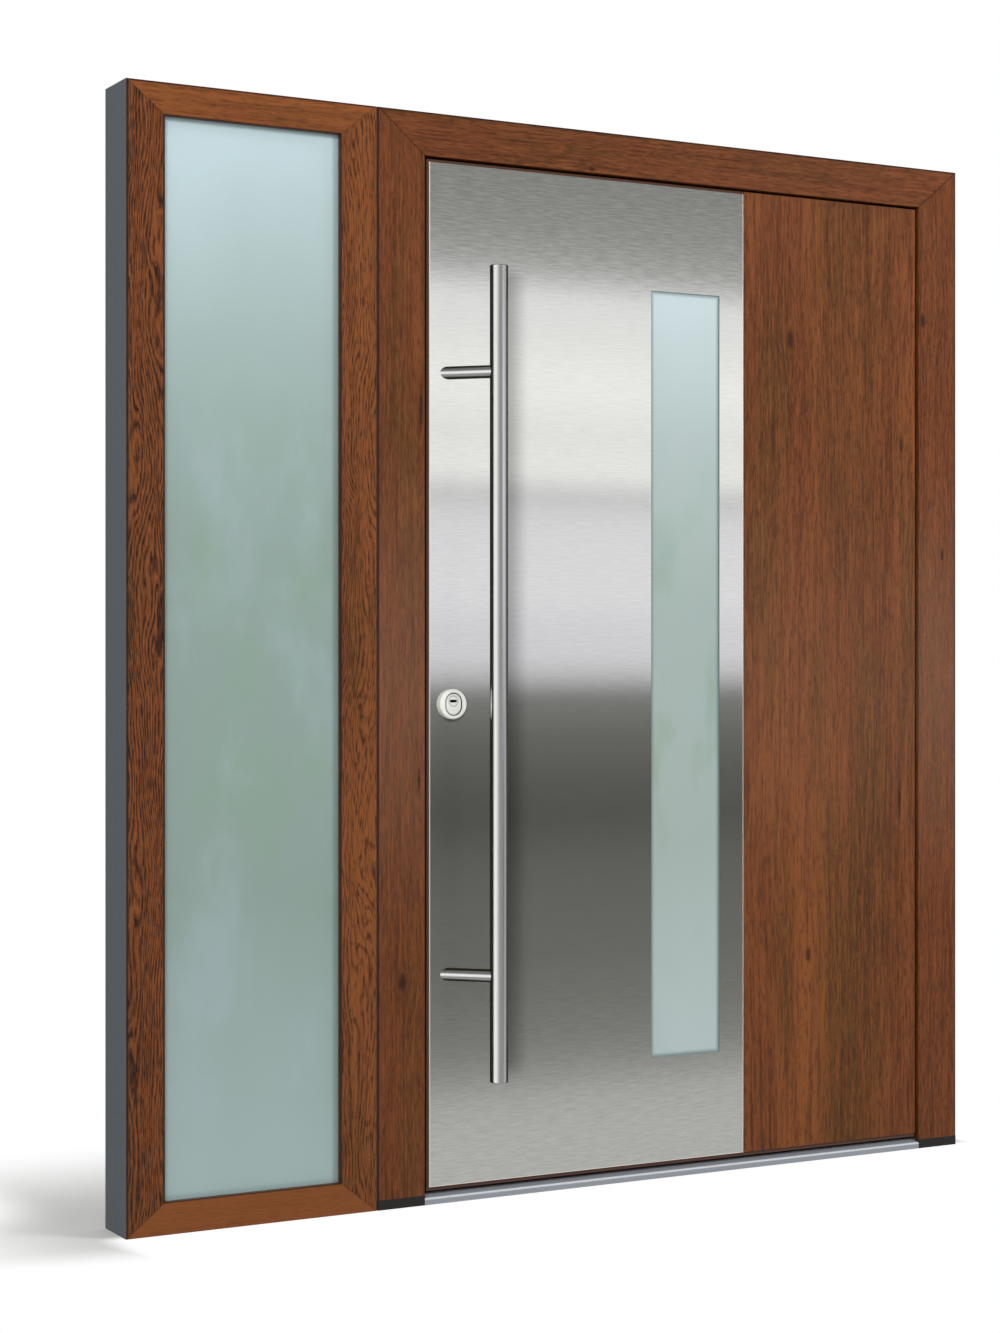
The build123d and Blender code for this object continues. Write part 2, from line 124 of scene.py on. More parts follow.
class MetalFinishes(bpy.types.PropertyGroup):
    steel: colour_choice("Panel steel", "Brushed steel of the leaf's panel", "#FAFAF0")
    handle: colour_choice("Handle steel", "Fine-brushed steel of bar and lever", "#F4F5F2")
    # Painted highlight: the bright line along the panel sheet's edges.
    edge_highlight: colour_choice("Cut edge", "Bright edge of the panel's sheet", "#EDE3D6")
    satin: colour_choice("Satin nickel", "Lock rosette, cover and plug", "#FBFBF5")
    gap: colour_choice("Shadow gap", "Gaps round the lock's cover, plug and keyway", "#141412")
    hinge: colour_choice("Fitting steel", "Satin steel of hinges, strike and screws", "#B9BBBC")
    grey: colour_choice("Grey coating", "Coating on reveals and leaf edges", "#50545A")
    sill: colour_choice("Sill", "Anodised sill", "#B2B6BF")
    # Painted highlight: the bright line along the sill's nose edge.
    sill_nose_highlight: colour_choice("Sill nose", "Brighter edge of the sill", "#C3C8CC")
    brown: colour_choice("Brown coating", "Coupling strip and strip under the leaf", "#4D3128")
    border: colour_choice("Leaf border", "Coating on the leaf's frame round its panels", "#4B2E1C")
    brush_gap: length_choice("Brush line gap", "Distance between brush lines", 0.0016)
    brush_length: length_choice("Brush line length", "Length of one brush line", 0.070)


class GlassFinishes(bpy.types.PropertyGroup):
    # These tones and clouds paint the light and greenery that show through the frosting.
    top: colour_choice("Frosted top", "Frosted glass at the head", "#B0C3C7")
    upper: colour_choice("Frosted upper", "Frosted glass at three quarters", "#9AADAB")
    middle: colour_choice("Frosted middle", "Frosted glass at half height", "#899D96")
    lower: colour_choice("Frosted lower", "Frosted glass at the sill", "#A2B6B5")
    cloud: colour_choice("Green cloud", "Greener clouding in the frosting", "#879F8D")
    painted_haze: colour_choice("Blue haze", "Bluer clouding in the frosting", "#9FB1B7")
    # Painted shade: the darker rim just inside the frame's cover.
    edge: colour_choice("Glass edge", "Darker rim along the sight edge", "#637C7D")
    edge_width: length_choice("Rim width", "Width of the darker rim", 0.010)
    clear: colour_choice("Clear glass", "Body of the inner panes", "#DCE9E6")


class PlainFinishes(bpy.types.PropertyGroup):
    plastic: colour_choice("Black plastic", "Feet under the jambs", "#211F1D")
    rubber: colour_choice("Black rubber", "Seal round the leaf", "#161616")
    gasket: colour_choice("Gasket", "Brown gaskets of the side light", "#5A3826")
    foam: colour_choice("Core", "Insulation inside the leaf", "#D8CFB4")


class ScrewSizes(bpy.types.PropertyGroup):
    head: length_choice("Head diameter", "Diameter of a screw head", 0.0088)
    height: length_choice("Head height", "How far a head stands proud", 0.0011)
    drive: length_choice("Drive width", "Width of the hexagon socket", 0.0034)
    sides: IntProperty(name="Head sides", description="Sides of a screw head", min=8, default=24)


class Studio(bpy.types.PropertyGroup):
    eye: FloatVectorProperty(
        name="Camera place", description="Where the camera stands", subtype="XYZ", unit="LENGTH",
        default=(-2.5857, -4.4424, 1.0536),
    )
    turn: FloatProperty(
        name="Camera turn", description="Turn of the view away from straight on", subtype="ANGLE",
        default=math.radians(28.771),
    )
    lens: FloatProperty(name="Lens", description="Focal length in millimetres", min=1, default=69.28)
    rise: FloatProperty(name="Shift", description="Vertical lens shift", precision=4, default=-0.0073)
    floor: colour_choice("Floor", "Plain pale floor", "#CECECC")
    daylight: FloatProperty(name="World level", description="Soft light from all sides", min=0, default=0.70)
    key_power: power_choice("Key lamp", "Power of the key lamp", 104)
    fill_power: power_choice("Fill lamp", "Power of the fill lamp", 170)
    room_power: power_choice("Room lamp", "Power of the lamp on the room side", 190)


class Wire:
    """One output socket of a node tree. Arithmetic on it adds Math nodes."""

    def __init__(self, sheet, socket):
        self.sheet = sheet
        self.socket = socket

    def math(self, operation, first, second):
        return self.sheet.node("ShaderNodeMath", {"operation": operation}, {0: first, 1: second})

    def __add__(self, other):
        return self.math("ADD", self, other)

    def __radd__(self, other):
        return self.math("ADD", other, self)

    def __sub__(self, other):
        return self.math("SUBTRACT", self, other)

    def __rsub__(self, other):
        return self.math("SUBTRACT", other, self)

    def __mul__(self, other):
        return self.math("MULTIPLY", self, other)

    def __rmul__(self, other):
        return self.math("MULTIPLY", other, self)

    def __truediv__(self, other):
        return self.math("DIVIDE", self, other)

    def __rtruediv__(self, other):
        return self.math("DIVIDE", other, self)

    def __pow__(self, other):
        return self.math("POWER", self, other)

    def __abs__(self):
        return self.math("ABSOLUTE", self, 0)


class NodeSheet:
    """A node tree that is filled through one method."""

    def __init__(self, tree):
        self.tree = tree

    def node(self, kind, settings, sockets, output=0):
        """Adds a node, sets its settings first, then its sockets' values or links."""
        node = self.tree.nodes.new(kind)
        for name, value in settings.items():
            if name == "stops":
                self.set_stops(node.color_ramp.elements, value)
            else:
                setattr(node, name, value)
        for key, value in sockets.items():
            if isinstance(value, Wire):
                self.tree.links.new(value.socket, node.inputs[key])
            else:
                node.inputs[key].default_value = value
        return Wire(self, node.outputs[output]) if node.outputs else None

    def set_stops(self, elements, stops):
        while len(elements) < len(stops):
            elements.new(1.0)
        for element, (position, colour) in zip(elements, stops):
            element.position = position
            element.color = rgba(colour)

    def split(self, vector):
        first = self.node("ShaderNodeSeparateXYZ", {}, {0: vector})
        return [Wire(self, socket) for socket in first.socket.node.outputs]

    def join(self, x, y, z):
        return self.node("ShaderNodeCombineXYZ", {}, {0: x, 1: y, 2: z})

    def noise(self, vector, detail=2.0, roughness=0.5):
        sockets = {"Vector": vector, "Scale": 1.0, "Detail": detail, "Roughness": roughness}
        return self.node("ShaderNodeTexNoise", {"noise_dimensions": "3D"}, sockets)

    def ease(self, value, start, end):
        """0 at start, 1 at end, smooth between them."""
        settings = {"interpolation_type": "SMOOTHSTEP"}
        if start < end:
            return self.node("ShaderNodeMapRange", settings, {0: value, 1: start, 2: end, 3: 0.0, 4: 1.0})
        return self.node("ShaderNodeMapRange", settings, {0: value, 1: end, 2: start, 3: 1.0, 4: 0.0})

    def blend(self, factor, first, second):
        """A colour between two others."""
        return self.node("ShaderNodeMix", {"data_type": "RGBA"}, {0: factor, 6: first, 7: second}, 2)

    def least(self, first, *others):
        for other in others:
            first = first.math("MINIMUM", first, other)
        return first

    def most(self, first, *others):
        for other in others:
            first = first.math("MAXIMUM", first, other)
        return first

    def distance(self, first, *others):
        """Length of the straight line that has these offsets."""
        total = first * first
        for other in others:
            total = total + other * other
        return total ** 0.5


class Finish(NodeSheet):
    """A material under construction."""

    def __init__(self, name):
        self.material = bpy.data.materials.new(name)
        self.material.use_nodes = True
        super().__init__(self.material.node_tree)
        self.tree.nodes.clear()

    def place(self):
        return self.split(self.node("ShaderNodeTexCoord", {}, {}, "Object"))

    def surface(self, sockets, relief=None, depth=0.0002):
        """Ends the material in one surface shader, with a height for its bump where it has one."""
        if relief is not None:
            bump = self.node("ShaderNodeBump", {}, {"Strength": 1.0, "Distance": depth, "Height": relief})
            sockets = {**sockets, "Normal": bump}
        shader = self.node("ShaderNodeBsdfPrincipled", {}, sockets)
        self.node("ShaderNodeOutputMaterial", {}, {"Surface": shader})
        return self.material


def dress(material, *names):
    """Gives CAD nodes a material."""
    for name in names:
        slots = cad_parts[name].data.materials
        slots.clear()
        slots.append(material)


class Board(typing.NamedTuple):
    """One wood-decor piece: its node, the way of its grain, and what marks it."""
    node: str
    grain: str
    start: tuple  # where its pattern starts, across and along the grain
    wander: float = 0.03  # how far its growth lines drift
    figure: float = 0.0  # strength of the wavy figure
    tone: float = 0.0  # above 0 darker, below 0 paler
    knots: tuple = ()  # place across and along the grain, size, stretch along it
    mitres: tuple = ()  # as corner_line gives them
    mitre_depth: float = 0.7  # darkness of the mitre lines
    # The sheen is painted into the colour, greyer at mid-height.
    painted_sheen: float = 0.0  # strength of the greyer sheen at mid-height
    lift: float = 0.0  # share of the light tone laid over it
    reveals: tuple = ()  # axis and place of each face with the grey coating
    # Each edge gets a dark line of painted shade.
    edges: tuple = ()  # axis, place and width of each dark edge
    bands: tuple = ()  # middle across the grain, half width and share of each olive band


def wood_finish(board, wood, grey):
    """Wood decor with grain, pores, olive bands, knots, mitre lines and grey outer reveals, with painted shade
    along dark edges and a painted greyer sheen at mid-height.
    """
    f = Finish("wood_" + board.node)
    x, y, z = f.place()
    way = {"X": x, "Z": z}
    across, length = (x, z) if board.grain == "Z" else (z, x)
    u = across + board.start[0]
    v = length + board.start[1]
    drift = f.noise(f.join(u * 7, y * 7, v * 1.1), 2.0)
    lane = u + y * 0.6 + (drift - 0.5) * board.wander
    mark = 0
    spots = []
    for knot_u, knot_v, size, stretch in board.knots:
        du = across - knot_u
        dv = (length - knot_v) / stretch
        far = f.distance(du, dv)
        lane = lane - du / (1 + (far / (size * 1.8)) ** 2) * 0.75
        spots.append((far, size))
    ring = f.noise(f.join(lane / wood.ring_gap, y * 25, v * 2.2), 3.0, 0.6)
    fibre = f.noise(f.join(lane / wood.fibre_width, y * 200, v / wood.fibre_length), 2.0, 0.6)
    pore = f.noise(f.join(lane / wood.pore_width, y * 150, v / wood.pore_length), 2.0, 0.6)
    for far, size in spots:
        mark = f.most(f.ease(far + (pore + drift - 1.0) * size * 1.2, size * 0.9, size * 0.2) * 0.75, mark)
    patch = f.noise(f.join(u * 9 + 3.7, y * 9, v * 0.9), 3.0, 0.55)
    shade = f.noise(f.join(u * 14 + 8.1, y * 14, v * 1.4), 2.0)
    ring_mask = f.ease(ring, 0.42, 0.72)
    fibre_mask = f.ease(fibre, 0.50, 0.72)
    pore_mask = f.ease(pore, 0.50, 0.68)
    colour = f.blend(f.ease(patch + board.tone, 0.38, 0.62), rgba(wood.light), rgba(wood.middle))
    colour = f.blend(f.ease(shade, 0.46, 0.68) * 0.7, colour, rgba(wood.olive))
    # Olive bands are the wood's own tone; they fade out near mid-height, under the painted sheen.
    for middle, half, share in board.bands:
        band = f.ease(abs(across + (drift - 0.5) * 0.10 - middle), half * 1.4, half * 0.6)
        colour = f.blend(band * f.ease(abs(z - mid_height), 0.10, 0.45) * share, colour, rgba(wood.olive))
    colour = f.blend(ring_mask * 0.44, colour, rgba(wood.dark))
    colour = f.blend(f.ease(fibre, 0.50, 0.30) * 0.55, colour, rgba(wood.light))
    colour = f.blend(fibre_mask * 0.54, colour, rgba(wood.dark))
    colour = f.blend(f.ease(pore, 0.46, 0.30) * (0.36 + board.figure * 0.5), colour, rgba(wood.light))
    colour = f.blend(pore_mask * (0.46 + board.figure * 0.46), colour, rgba(wood.dark))
    if board.lift:
        colour = f.blend(board.lift, colour, rgba(wood.light))
    # Painted sheen: the colour turns greyer towards mid-height.
    if board.painted_sheen:
        colour = f.blend(f.ease(abs(z - mid_height), 0.55, 0.0) * board.painted_sheen, colour, rgba(wood.painted_sheen))
    height = fibre * 0.5 - pore_mask * 0.6 - ring_mask * 0.15
    if board.figure:
        field = u * 980 + f.noise(f.join(u * 11, y * 11, v * 2.6), 2.0, 0.5) * 135 + fibre * 4
        wave = field.math("SINE", field, 0)
        mark = f.most(f.ease(wave, 0.2, 1.0) * (0.35 + f.ease(pore, 0.30, 0.60) * 0.65) * board.figure, mark)
        colour = f.blend(f.ease(wave, -0.4, -1.0) * board.figure * 0.6, colour, rgba(wood.light))
    for (mitre_x, mitre_z), (normal_x, normal_z) in board.mitres:
        off = abs((x - mitre_x) * normal_x + (z - mitre_z) * normal_z)
        mark = f.most(f.ease(off, 0.0016, 0.0005) * board.mitre_depth, mark)
    # Painted shade: dark lines along the given edges.
    for axis, value, width in board.edges:
        mark = f.most(f.ease(abs(way[axis] - value), width, width * 0.4) * 0.8, mark)
    if isinstance(mark, Wire):
        colour = f.blend(mark, colour, rgba(wood.pore))
        height = height - mark
    rough = wood.gloss + pore_mask * 0.10 + ring_mask * 0.06
    for axis, value in board.reveals:
        mask = f.ease(abs(way[axis] - value), 0.0003, 0.0001)
        speck = f.noise(f.join(x * 900, y * 900, z * 900), 2.0)
        coat = f.blend(speck, toned(grey, 1.1), toned(grey, 0.9))
        colour = f.blend(mask, colour, coat)
        height = height * (1 - mask) + speck * mask * 0.2
    return f.surface({"Base Color": colour, "Roughness": rough, "Specular IOR Level": 0.28}, height, wood.relief)


def grey_finish(name, colour):
    """Satin coating with a fine grain and slight wear."""
    f = Finish(name)
    x, y, z = f.place()
    speck = f.noise(f.join(x * 1100, y * 1100, z * 1100), 2.0)
    cloud = f.noise(f.join(x * 6, y * 6, z * 2), 3.0)
    tint = f.blend(speck * 0.35 + cloud * 0.35, toned(colour, 1.12), toned(colour, 0.86))
    return f.surface({"Base Color": tint, "Roughness": 0.44 + speck * 0.12}, speck, 0.00006)


def brush_lines(f, along, metals):
    """Coarse and fine brush lines along X or Z, and the slow clouding between them."""
    x, y, z = f.place()
    gap, run = metals.brush_gap, metals.brush_length
    if along == "X":
        stroke = f.noise(f.join(x / run, y / run, z / gap), 3.0, 0.6)
        fine = f.noise(f.join(x / run * 2.5, y / run, z / gap * 3.5), 2.0)
    else:
        stroke = f.noise(f.join(x / gap, y / gap, z / run), 3.0, 0.6)
        fine = f.noise(f.join(x / gap * 3.5, y / gap * 3.5, z / run * 2.5), 2.0)
    cloud = f.noise(f.join(x * 4, y * 4, z * 4), 2.0)
    return stroke, fine, cloud


def brushed_finish(name, colour, metals, along, rough, metallic):
    """Brushed steel with its lines along X or Z."""
    f = Finish(name)
    stroke, fine, cloud = brush_lines(f, along, metals)
    share = f.ease(stroke, 0.35, 0.7) * 0.45 + fine * 0.35 + cloud * 0.2
    tint = f.blend(share, rgba(colour), toned(colour, 0.88))
    sockets = {"Base Color": tint, "Metallic": metallic, "Roughness": rough + (fine - 0.5) * 0.06}
    return f.surface(sockets, stroke * 0.5 + fine * 0.5, 0.000012)


def panel_finish(name, metals):
    """Level brushed steel, coarser at head and foot, with a painted highlight along the sheet's edges and painted
    shadows beside the bar and round the lock.
    """
    f = Finish(name)
    x, y, z = f.place()
    stroke, fine, cloud = brush_lines(f, "X", metals)
    low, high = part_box("leaf_steel_skin")
    bar_low, bar_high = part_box("handle_bar")
    streak = f.noise(f.join(x * 26, y, z * 420), 3.0, 0.6)
    coarse = f.ease(z, high.z - 0.26, high.z - 0.17) + f.ease(z, low.z + 0.50, low.z + 0.15) * 0.4 + 0.32
    share = f.ease(streak, 0.32, 0.68) * coarse * 0.65 + stroke * 0.22 + fine * 0.12 + cloud * 0.1
    tint = f.blend(share, rgba(metals.steel), toned(metals.steel, 0.72))
    # Painted shadow: a soft dark strip right of the bar, and a dark crescent right of and below the lock rosette.
    beside = x - bar_high.x
    shade = f.ease(beside, 0.002, 0.036) * f.ease(beside, 0.094, 0.040)
    shade = shade * f.ease(z, bar_low.z - 0.02, bar_low.z + 0.03) * f.ease(z, bar_high.z + 0.02, bar_high.z - 0.02)
    lock_x, lock_z, lock_radius, _ = front_oval("lock_rosette")
    off_x, off_z = x - lock_x, z - lock_z
    ring = f.distance(off_x, off_z) - lock_radius
    shade = f.most(shade * 0.46, f.ease(ring, 0.008, 0.001) * f.ease(off_x - off_z, -0.010, 0.025) * 0.55)
    tint = f.blend(shade, tint, (0.0, 0.0, 0.0, 1.0))
    # Painted highlight: a pale, less metallic line along the sheet's left, right and lower edges.
    edge = f.ease(f.least(x - low.x, high.x - x, z - low.z), 0.0022, 0.0010)
    tint = f.blend(edge, tint, rgba(metals.edge_highlight))
    sockets = {
        "Base Color": tint,
        "Metallic": 0.965 + (stroke - 0.5) * 0.05 - edge * 0.6,
        "Roughness": 0.065 + (fine - 0.5) * 0.02,
        "Anisotropic": 1.0,
    }
    return f.surface(sockets)


def frosted_finish(name, glass, pane, lift, cover, rim_depth):
    """Satin-frosted glass with painted light, paler at the head and clouded for what shows through it, and a
    darker rim of painted shade inside what covers its edges.
    """
    f = Finish(name)
    x, y, z = f.place()
    low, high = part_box(pane)
    # Painted light: the tones by height, paler at the head, stand for what shows through the frosting.
    share = (z - low.z) / (high.z - low.z)
    tones = [glass.lower, glass.middle, glass.middle, glass.upper, glass.top]
    tones = [[c + (1 - c) * lift for c in tone] for tone in tones]
    stops = list(zip((0.0, 0.27, 0.60, 0.80, 0.97), tones))
    bend = f.noise(f.join(x * 5, y * 5, z * 2.2), 3.0, 0.55)
    tint = f.node("ShaderNodeValToRGB", {"stops": stops}, {0: share + (bend - 0.5) * 0.10})
    # Painted light: green clouding for the greenery behind the glass, and a blue haze for the paler light behind
    # its upper part.
    cloud = f.noise(f.join(x * 9 + 5, y * 9, z * 4), 4.0, 0.6)
    belt = f.ease(share, 0.15, 0.40) * f.ease(share, 0.82, 0.58)
    tint = f.blend(f.ease(cloud, 0.47, 0.66) * belt * 0.50, tint, rgba(glass.cloud))
    painted_haze = f.noise(f.join(x * 7 + 11, y * 7, z * 3.4 + 4), 4.0, 0.62)
    tint = f.blend(f.ease(painted_haze, 0.46, 0.74) * f.ease(share, 0.90, 0.70) * 0.45, tint, rgba(glass.painted_haze))
    # Painted shade: a darker rim inside what covers the edges.
    rim = f.least(x - low.x, high.x - x, z - low.z, high.z - z) - cover
    tint = f.blend(f.ease(rim, glass.edge_width, 0.001) * rim_depth, tint, rgba(glass.edge))
    grain = f.noise(f.join(x * 900, y * 900, z * 900), 2.0)
    return f.surface(
        {"Base Color": tint, "Roughness": 0.36 + grain * 0.1, "Transmission Weight": 0.12, "IOR": 1.45},
        grain, 0.00003,
    )


def satin_finish(name, metals, oval, depth, filled=False):
    """Satin nickel with a dark line of painted shade round an oval of centre and half sizes, or with the oval
    filled with painted shade.
    """
    f = Finish(name)
    x, y, z = f.place()
    centre_x, centre_z, half_x, half_z = oval
    stroke, fine, cloud = brush_lines(f, "X", metals)
    tint = f.blend(stroke * 0.5 + cloud * 0.3, rgba(metals.satin), toned(metals.satin, 0.85))
    small, large = min(half_x, half_z), max(half_x, half_z)
    along, over = (x - centre_x, z - centre_z) if half_x > half_z else (z - centre_z, x - centre_x)
    run = f.most(abs(along) - (large - small), 0)
    far = f.distance(run, over) - small
    line = f.ease(far, 0.0003, -0.0003) if filled else f.ease(far, 0.0026, 0.0012)
    tint = f.blend(line * depth, tint, rgba(metals.gap))
    sockets = {
        "Base Color": tint,
        "Metallic": 0.05 - line * 0.05,
        "Roughness": 0.34 + fine * 0.08 + line * 0.4,
    }
    return f.surface(sockets, stroke - line * 4, 0.00002)


def clear_finish(name, colour):
    """Clear glass with faint smears."""
    f = Finish(name)
    x, y, z = f.place()
    smear = f.noise(f.join(x * 7, y * 7, z * 3), 3.0)
    tint = f.blend(smear * 0.5, rgba(colour), toned(colour, 0.95))
    return f.surface(
        {"Base Color": tint, "Roughness": 0.02 + f.ease(smear, 0.5, 0.8) * 0.05, "Alpha": 0.10 + smear * 0.06}
    )


def moulded_finish(name, colour, rough, grain_size, depth, lines=None):
    """Plain moulded, rolled or foamed stuff with a fine grain, and lines along one axis where it has them."""
    f = Finish(name)
    x, y, z = f.place()
    grain = f.noise(f.join(x / grain_size, y / grain_size, z / grain_size), 3.0, 0.6)
    cloud = f.noise(f.join(x * 8, y * 8, z * 8), 2.0)
    height = grain
    share = grain * 0.5 + cloud * 0.5
    if lines == "X":
        streak = f.noise(f.join(x * 3, y / grain_size, z / grain_size), 2.0)
        height = streak
        share = streak * 0.7 + cloud * 0.3
    tint = f.blend(share, toned(colour, 1.35), toned(colour, 0.7))
    return f.surface({"Base Color": tint, "Roughness": rough + (grain - 0.5) * 0.16}, height, depth)


def sill_finish(name, colour, nose=None):
    """Anodised aluminium with drawn lines along X, and a painted highlight along the nose edge (y, z, colour)
    where it has one.
    """
    f = Finish(name)
    x, y, z = f.place()
    drawn = f.noise(f.join(x * 2.5, y * 900, z * 900), 3.0, 0.6)
    cloud = f.noise(f.join(x * 5, y * 20, z * 20), 2.0)
    tint = f.blend(drawn * 0.5 + cloud * 0.4, rgba(colour), toned(colour, 0.72))
    bright = 0
    if nose:
        # Painted highlight along the nose's upper edge.
        off_y, off_z = y - nose[0], z - nose[1]
        bright = f.ease(f.distance(off_y, off_z), 0.0038, 0.0010)
        tint = f.blend(bright, tint, rgba(nose[2]))
    sockets = {
        "Base Color": tint,
        "Metallic": 0.5 - 0.5 * bright,
        "Roughness": 0.36 + (drawn - 0.5) * 0.14,
    }
    return f.surface(sockets, drawn, 0.00002)


class DOOR_OT_wood_frame(bpy.types.Operator):
    """Wood decor on the side light's frame, its beads and the door frame"""
    bl_idname = "door.wood_frame"
    bl_label = "Frame"

    def execute(self, context):
        wood = context.scene.door_wood
        grey = context.scene.door_metal.grey
        left_low, left_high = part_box("sidelight_left_stile")
        right_low, right_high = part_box("sidelight_right_stile")
        top_low, top_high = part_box("sidelight_top_rail")
        bottom_low, bottom_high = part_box("sidelight_bottom_rail")
        jamb_low, jamb_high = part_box("lock_jamb")
        hinge_low, hinge_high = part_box("hinge_jamb")
        head_low, head_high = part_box("door_header")
        stile, rail = left_high.x - left_low.x, top_high.z - top_low.z
        jamb, head = jamb_high.x - jamb_low.x, head_high.z - head_low.z
        top_left = corner_line(left_low.x, left_high.z, stile, -rail)
        top_right = corner_line(right_high.x, right_high.z, -stile, -rail)
        bottom_left = corner_line(left_low.x, left_low.z, stile, rail)
        bottom_right = corner_line(right_high.x, right_low.z, -stile, rail)
        lock_corner = corner_line(jamb_low.x, jamb_high.z, jamb, -head)
        hinge_corner = corner_line(hinge_high.x, hinge_high.z, -jamb, -head)
        crown = ("Z", top_high.z)
        # Widths of the painted shade lines at sight edges, outer edges and the left stile's edges.
        sight, outer, stile_edge = 0.003, 0.005, 0.006
        faint = 0.3
        boards = [
            Board("sidelight_left_stile", "Z", (0.31, 0.2), wander=0.05, figure=0.80, tone=0.14,
                  mitres=(top_left, bottom_left), mitre_depth=faint, reveals=(("X", left_low.x),),
                  edges=(("X", left_low.x, stile_edge), ("X", left_high.x, stile_edge))),
            Board("sidelight_right_stile", "Z", (1.7, 3.1), wander=0.05, figure=0.58, tone=-0.12, lift=0.08,
                  mitres=(top_right, bottom_right), mitre_depth=faint, edges=(("X", right_low.x, sight),),
                  knots=((-0.479, 0.958, 0.009, 2.0),)),
            Board("sidelight_top_rail", "X", (2.4, 0.7), tone=-0.10, lift=0.15,
                  mitres=(top_left, top_right), mitre_depth=faint, reveals=(crown,),
                  edges=(("Z", top_high.z, outer), ("Z", top_low.z, sight))),
            Board("sidelight_bottom_rail", "X", (0.9, 5.2), tone=-0.25, lift=0.70,
                  mitres=(bottom_left, bottom_right), mitre_depth=faint, edges=(("Z", bottom_high.z, sight),)),
            Board("sidelight_upright_beads", "Z", (4.1, 1.2)),
            Board("sidelight_level_beads", "X", (3.3, 2.2)),
            Board("lock_jamb", "Z", (5.3, 0.4), tone=0.18, painted_sheen=0.20, mitres=(lock_corner,),
                  edges=(("X", jamb_low.x, sight),),
                  knots=((-0.390, 0.430, 0.014, 2.0), (-0.350, 1.527, 0.005, 11.0), (-0.354, 0.815, 0.005, 8.0))),
            Board("hinge_jamb", "Z", (7.7, 2.9), tone=0.24, painted_sheen=0.24, mitres=(hinge_corner,),
                  reveals=(("X", hinge_high.x),), edges=(("X", hinge_high.x, outer),),
                  knots=((0.857, 1.775, 0.010, 2.4), (0.910, 1.273, 0.006, 3.0))),
            Board("door_header", "X", (6.6, 1.9), tone=0.30, mitres=(lock_corner, hinge_corner), reveals=(crown,),
                  edges=(("Z", head_high.z, outer),), knots=((2.024, 0.032, 0.005, 2.0),)),
        ]
        for board in boards:
            dress(wood_finish(board, wood, grey), board.node)
        return {"FINISHED"}


def corner_line(x, z, run_x, run_z):
    """A mitre from an outer corner: the corner, and the unit normal of the line that runs in from it."""
    size = math.hypot(run_x, run_z)
    return (x, z), (-run_z / size, run_x / size)


class DOOR_OT_leaf_panels(bpy.types.Operator):
    """Brushed steel and wood decor panels of the leaf, its edges and its core"""
    bl_idname = "door.leaf_panels"
    bl_label = "Leaf panels"

    def execute(self, context):
        wood = context.scene.door_wood
        metal = context.scene.door_metal
        plain = context.scene.door_plain
        dress(panel_finish("panel_steel", metal), "leaf_steel_skin")
        boards = [
            Board("leaf_wood_skin", "Z", (9.2, 0.1), wander=0.04, tone=0.03, painted_sheen=0.10,
                  bands=((0.672, 0.090, 0.42),),
                  knots=((0.516, 1.714, 0.013, 2.4), (0.562, 0.430, 0.010, 2.4), (0.804, 1.508, 0.008, 4.0),
                         (0.800, 0.748, 0.006, 14.0))),
            Board("leaf_inner_skin", "Z", (11.4, 4.3), wander=0.04),
        ]
        for board in boards:
            dress(wood_finish(board, wood, metal.grey), board.node)
        dress(
            grey_finish("leaf_border_coating", metal.border),
            "leaf_lock_stile", "leaf_hinge_stile", "leaf_top_rail", "leaf_bottom_rail",
        )
        dress(grey_finish("trim_coating", metal.grey), "leaf_glazing_trim")
        dress(moulded_finish("leaf_core_foam", plain.foam, 0.8, 0.002, 0.0003), "leaf_core")
        return {"FINISHED"}


class DOOR_OT_glass(bpy.types.Operator):
    """Frosted outer panes, clear inner panes, spacers and gaskets"""
    bl_idname = "door.glass"
    bl_label = "Glass"

    def execute(self, context):
        glass = context.scene.door_glass
        plain = context.scene.door_plain
        metal = context.scene.door_metal
        panes = [
            ("frosted_side_light", "sidelight_outer_pane", {"lift": 0.0, "cover": 0.014, "rim_depth": 0.2}),
            ("frosted_leaf_strip", "leaf_outer_pane", {"lift": 0.13, "cover": 0.012, "rim_depth": 0.7}),
        ]
        for name, pane, look in panes:
            dress(frosted_finish(name, glass, pane, **look), pane)
        dress(clear_finish("clear_inner_glass", glass.clear), "sidelight_inner_pane", "leaf_inner_pane")
        dress(moulded_finish("gasket_rubber", plain.gasket, 0.62, 0.0012, 0.00008), "sidelight_gaskets")
        dress(moulded_finish("seal_rubber", plain.rubber, 0.62, 0.0012, 0.00008), "frame_seal")
        dress(sill_finish("glass_spacer_metal", metal.hinge), "sidelight_spacer", "leaf_glass_spacer")
        return {"FINISHED"}


class DOOR_OT_pull_handle(bpy.types.Operator):
    """Fine-brushed steel on the pull bar and its standoffs"""
    bl_idname = "door.pull_handle"
    bl_label = "Pull handle"

    def execute(self, context):
        metal = context.scene.door_metal
        dress(brushed_finish("bar_steel", metal.handle, metal, "Z", 0.20, 1.0), "handle_bar")
        dress(
            brushed_finish("standoff_steel", metal.handle, metal, "X", 0.18, 1.0),
            "handle_upper_standoff", "handle_lower_standoff",
        )
        # The steel mirrors the studio alone, without the pieces beside it.
        not_mirrored = (
            "handle_bar", "handle_upper_standoff", "handle_lower_standoff", "lock_jamb", "sidelight_right_stile",
            "leaf_steel_skin",
        )
        for name in not_mirrored:
            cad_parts[name].visible_glossy = False
        return {"FINISHED"}


